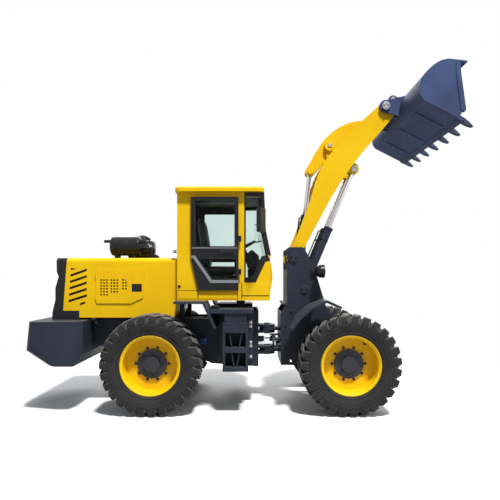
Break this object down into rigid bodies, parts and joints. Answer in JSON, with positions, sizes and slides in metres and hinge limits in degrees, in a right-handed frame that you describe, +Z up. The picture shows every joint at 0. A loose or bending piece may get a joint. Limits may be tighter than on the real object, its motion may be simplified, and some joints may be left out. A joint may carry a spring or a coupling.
{
  "type": "articulated wheel loader",
  "caption": "Articulated wheel loader: raised Z-bar boom with toothed bucket, glazed cab, rear engine hood with side doors, lugged tyres, centre-pivot steering and hydraulic cylinders.",
  "frame": {"origin": "ground level under the middle of the machine's length and width", "axes": "X forward to the bucket, Y to the machine's left, Z up"},
  "size_m": [5.1797, 2.1, 4.0872],
  "materials": {
    "structure_paint": "dark blue-grey paint, semi-gloss",
    "cast_grey": "painted casting",
    "yellow_paint": "yellow gloss paint",
    "black_paint": "black semi-gloss paint",
    "trim_plastic": "matte moulded plastic",
    "seat_vinyl": "black vinyl",
    "clear_glass": "lightly tinted glass",
    "bucket_paint": "blue-grey paint",
    "chrome_rod": "hard chrome",
    "pin_steel": "bare steel",
    "hub_paint": "dark grey paint",
    "tyre_rubber": "matte rubber"
  },
  "bodies": {
    "rear_body": {"rear_frame": "structure_paint", "counterweight": "structure_paint", "side_tanks": "structure_paint", "rear_fenders": "structure_paint", "engine": "cast_grey", "gearbox": "cast_grey", "rear_axle": "structure_paint", "hood": "yellow_paint", "rear_grille": "black_paint", "muffler": "black_paint", "air_cleaner": "black_paint", "cab": "yellow_paint", "cab_roof": "yellow_paint", "cab_glass": "clear_glass", "seat": "seat_vinyl", "console": "trim_plastic", "mirrors": "black_paint"},
    "front_body": {"front_frame": "structure_paint", "front_axle": "structure_paint", "drive_shaft": "structure_paint", "front_fenders": "structure_paint", "head_lamps": "black_paint"},
    "door_right": {"door_right": "black_paint", "door_glass_right": "clear_glass"},
    "door_left": {"door_left": "black_paint", "door_glass_left": "clear_glass"},
    "engine_door_right": {"engine_door_right": "yellow_paint"},
    "engine_door_left": {"engine_door_left": "yellow_paint"},
    "boom": {"boom": "yellow_paint"},
    "bucket_pins": {"bucket_pins": "pin_steel"},
    "bucket": {"bucket": "bucket_paint"},
    "link_pin": {"link_pin": "pin_steel"},
    "link": {"link": "yellow_paint"},
    "rocker_pin": {"rocker_pin": "pin_steel"},
    "rocker": {"rocker": "yellow_paint"},
    "lift_barrels": {"lift_barrels": "structure_paint"},
    "lift_rods": {"lift_rods": "chrome_rod"},
    "tilt_barrel": {"tilt_barrel": "structure_paint"},
    "tilt_rod": {"tilt_rod": "chrome_rod"},
    "wheel_front_right": {"tyre_front_right": "tyre_rubber", "rim_front_right": "yellow_paint", "hub_front_right": "hub_paint"},
    "wheel_front_left": {"tyre_front_left": "tyre_rubber", "rim_front_left": "yellow_paint", "hub_front_left": "hub_paint"},
    "wheel_rear_right": {"tyre_rear_right": "tyre_rubber", "rim_rear_right": "yellow_paint", "hub_rear_right": "hub_paint"},
    "wheel_rear_left": {"tyre_rear_left": "tyre_rubber", "rim_rear_left": "yellow_paint", "hub_rear_left": "hub_paint"},
    "steer_barrel_right": {"steer_barrel_right": "structure_paint"},
    "steer_rod_right": {"steer_rod_right": "chrome_rod"},
    "steer_barrel_left": {"steer_barrel_left": "structure_paint"},
    "steer_rod_left": {"steer_rod_left": "chrome_rod"}
  },
  "joints": [
    {"name": "steer", "type": "hinge", "parent": "rear_body", "child": "front_body", "pos_m": [0.283, 0, 0.78], "axis": [0, 0, 1], "range_deg": [-30, 30]},
    {"name": "wheel_front_right_spin", "type": "hinge", "parent": "front_body", "child": "wheel_front_right", "pos_m": [1.218, -0.785, 0.5875], "axis": [0, 1, 0], "continuous": true},
    {"name": "wheel_front_left_spin", "type": "hinge", "parent": "front_body", "child": "wheel_front_left", "pos_m": [1.218, 0.785, 0.5875], "axis": [0, 1, 0], "continuous": true},
    {"name": "wheel_rear_right_spin", "type": "hinge", "parent": "rear_body", "child": "wheel_rear_right", "pos_m": [-1.102, -0.785, 0.5875], "axis": [0, 1, 0], "continuous": true},
    {"name": "wheel_rear_left_spin", "type": "hinge", "parent": "rear_body", "child": "wheel_rear_left", "pos_m": [-1.102, 0.785, 0.5875], "axis": [0, 1, 0], "continuous": true},
    {"name": "door_right_swing", "type": "hinge", "parent": "rear_body", "child": "door_right", "pos_m": [-0.067, -0.67, 2], "axis": [0, 0, 1], "range_deg": [0, 80]},
    {"name": "engine_door_right_swing", "type": "hinge", "parent": "rear_body", "child": "engine_door_right", "pos_m": [-1.842, -0.572, 1.49], "axis": [0, 0, -1], "range_deg": [0, 90]},
    {"name": "door_left_swing", "type": "hinge", "parent": "rear_body", "child": "door_left", "pos_m": [-0.067, 0.67, 2], "axis": [0, 0, -1], "range_deg": [0, 80]},
    {"name": "engine_door_left_swing", "type": "hinge", "parent": "rear_body", "child": "engine_door_left", "pos_m": [-1.842, 0.572, 1.49], "axis": [0, 0, 1], "range_deg": [0, 90]},
    {"name": "boom_lift", "type": "hinge", "parent": "front_body", "child": "boom", "pos_m": [0.608, 0, 1.854], "axis": [0, -1, 0], "range_deg": [-106, 0]},
    {"name": "bucket_level", "type": "hinge", "parent": "boom", "child": "bucket_pins", "pos_m": [1.793, 0, 3.8], "axis": [0, -1, 0], "range_deg": [0, 129.05]},
    {"name": "bucket_tilt", "type": "hinge", "parent": "bucket_pins", "child": "bucket", "pos_m": [1.793, 0, 3.8], "axis": [0, 1, 0], "range_deg": [-30, 10]},
    {"name": "link_level", "type": "hinge", "parent": "bucket", "child": "link_pin", "pos_m": [1.961, 0, 3.971], "axis": [0, -1, 0], "range_deg": [-76.35, 0]},
    {"name": "link_swing", "type": "hinge", "parent": "link_pin", "child": "link", "pos_m": [1.961, 0, 3.971], "axis": [0, -1, 0], "range_deg": [-24.22, 8.11]},
    {"name": "rocker_level", "type": "hinge", "parent": "boom", "child": "rocker_pin", "pos_m": [1.112, 0, 3.348], "axis": [0, -1, 0], "range_deg": [-42.05, 0]},
    {"name": "rocker_swing", "type": "hinge", "parent": "rocker_pin", "child": "rocker", "pos_m": [1.112, 0, 3.348], "axis": [0, -1, 0], "range_deg": [-11.24, 3.78]},
    {"name": "lift_barrel_swing", "type": "hinge", "parent": "front_body", "child": "lift_barrels", "pos_m": [0.748, 0, 1.45], "axis": [0, -1, 0], "range_deg": [-109.37, 0]},
    {"name": "lift_rod_slide", "type": "slide", "parent": "lift_barrels", "child": "lift_rods", "axis": [0.3885, 0, 0.9214], "range_m": [-0.6795, 0]},
    {"name": "tilt_barrel_swing", "type": "hinge", "parent": "front_body", "child": "tilt_barrel", "pos_m": [0.723, 0, 1.748], "axis": [0, -1, 0], "range_deg": [-101.26, 0]},
    {"name": "tilt_rod_slide", "type": "slide", "parent": "tilt_barrel", "child": "tilt_rod", "axis": [0.106, 0, 0.9944], "range_m": [-0.0225, 0.0655]},
    {"name": "steer_barrel_right_swing", "type": "hinge", "parent": "rear_body", "child": "steer_barrel_right", "pos_m": [-0.237, -0.262, 0.765], "axis": [0, 0, 1], "range_deg": [-4.1, 4.1]},
    {"name": "steer_rod_right_slide", "type": "slide", "parent": "steer_barrel_right", "child": "steer_rod_right", "axis": [1, 0, 0], "range_m": [-0.1345, 0.1345]},
    {"name": "steer_barrel_left_swing", "type": "hinge", "parent": "rear_body", "child": "steer_barrel_left", "pos_m": [-0.237, 0.262, 0.765], "axis": [0, 0, 1], "range_deg": [-4.1, 4.1]},
    {"name": "steer_rod_left_slide", "type": "slide", "parent": "steer_barrel_left", "child": "steer_rod_left", "axis": [1, 0, 0], "range_m": [-0.1345, 0.1345]}
  ],
  "couplings": [
    {"joint": "bucket_level", "follows": "boom_lift", "ratio": -1.217},
    {"joint": "link_level", "follows": "boom_lift", "ratio": 0.71981},
    {"joint": "link_swing", "follows": "bucket_tilt", "ratio": 0.80581},
    {"joint": "rocker_level", "follows": "boom_lift", "ratio": 0.39626},
    {"joint": "rocker_swing", "follows": "bucket_tilt", "ratio": 0.37311},
    {"joint": "lift_barrel_swing", "follows": "boom_lift", "ratio": 1.0313},
    {"joint": "lift_rod_slide", "follows": "boom_lift", "m_per_rad": 0.36685},
    {"joint": "tilt_barrel_swing", "follows": "boom_lift", "ratio": 0.95481},
    {"joint": "tilt_rod_slide", "follows": "bucket_tilt", "m_per_rad": -0.12414},
    {"joint": "steer_barrel_right_swing", "follows": "steer", "ratio": 0.1322},
    {"joint": "steer_rod_right_slide", "follows": "steer", "m_per_rad": 0.2544},
    {"joint": "steer_barrel_left_swing", "follows": "steer", "ratio": 0.1322},
    {"joint": "steer_rod_left_slide", "follows": "steer", "m_per_rad": -0.2544}
  ]
}
